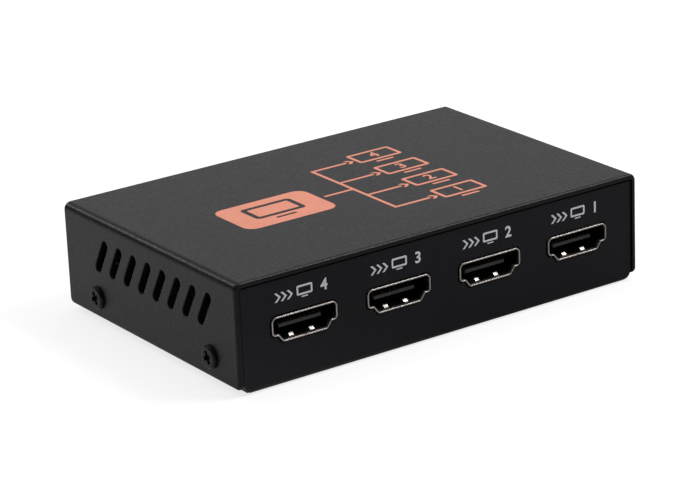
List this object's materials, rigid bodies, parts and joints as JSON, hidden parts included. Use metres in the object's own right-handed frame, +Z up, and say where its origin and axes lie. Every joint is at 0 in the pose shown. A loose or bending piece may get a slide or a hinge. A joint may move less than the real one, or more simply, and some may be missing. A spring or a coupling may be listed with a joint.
{
  "type": "video splitter box",
  "caption": "Small flat sheet-steel video splitter box: vented sides, a row of output sockets in front, input socket, DC jack and lights behind.",
  "frame": {"origin": "middle of the underside, on the surface that the box stands on", "axes": "+X along the front from the fourth output to the first, +Y from the outputs' side to the input's side, +Z up"},
  "size_m": [0.096, 0.061, 0.0222],
  "materials": {
    "case_paint": "fine textured powder coat, satin",
    "screw_black": "black oxide, glossy",
    "socket_steel": "nickel plated",
    "socket_plastic": "moulded",
    "contact_metal": "gold plated",
    "board_mask": "solder mask",
    "standoff_brass": "turned",
    "screw_steel": "zinc plated",
    "jack_plastic": "moulded",
    "jack_metal": "nickel plated",
    "light_red": "tinted clear",
    "light_blue": "tinted clear",
    "holder_plastic": "moulded",
    "lead_tin": "tinned",
    "chip_plastic": "moulded",
    "pad_rubber": "matt",
    "sink_metal": "anodised",
    "ferrite": "pressed ferrite",
    "can_metal": "drawn",
    "crystal_metal": "drawn",
    "ceramic_body": "fired"
  },
  "bodies": {
    "root": {"base_chassis": "case_paint", "board_screws": "screw_steel", "board_standoffs": "standoff_brass", "capacitor_bases": "chip_plastic", "capacitor_cans": "can_metal", "ceramic_capacitors": "ceramic_body", "channel_leds": "light_blue", "circuit_board": "board_mask", "control_chip": "chip_plastic", "control_chip_leads": "lead_tin", "cover_screws": "screw_black", "crystal": "crystal_metal", "dc_jack_body": "jack_plastic", "dc_jack_pin": "jack_metal", "dc_jack_spring": "jack_metal", "dc_jack_terminals": "jack_metal", "heat_sink": "sink_metal", "input_contacts": "contact_metal", "input_insulator": "socket_plastic", "input_shell": "socket_steel", "led_holders": "holder_plastic", "led_leads": "lead_tin", "memory_chip": "chip_plastic", "memory_chip_leads": "lead_tin", "output_1_contacts": "contact_metal", "output_1_insulator": "socket_plastic", "output_1_shell": "socket_steel", "output_2_contacts": "contact_metal", "output_2_insulator": "socket_plastic", "output_2_shell": "socket_steel", "output_3_contacts": "contact_metal", "output_3_insulator": "socket_plastic", "output_3_shell": "socket_steel", "output_4_contacts": "contact_metal", "output_4_insulator": "socket_plastic", "output_4_shell": "socket_steel", "power_inductor": "ferrite", "power_led": "light_red", "regulator_leads": "lead_tin", "regulators": "chip_plastic", "resistors": "chip_plastic", "splitter_chip": "chip_plastic", "splitter_chip_leads": "lead_tin", "surge_arrays": "chip_plastic", "thermal_pad": "pad_rubber", "top_cover": "case_paint"}
  },
  "joints": []
}
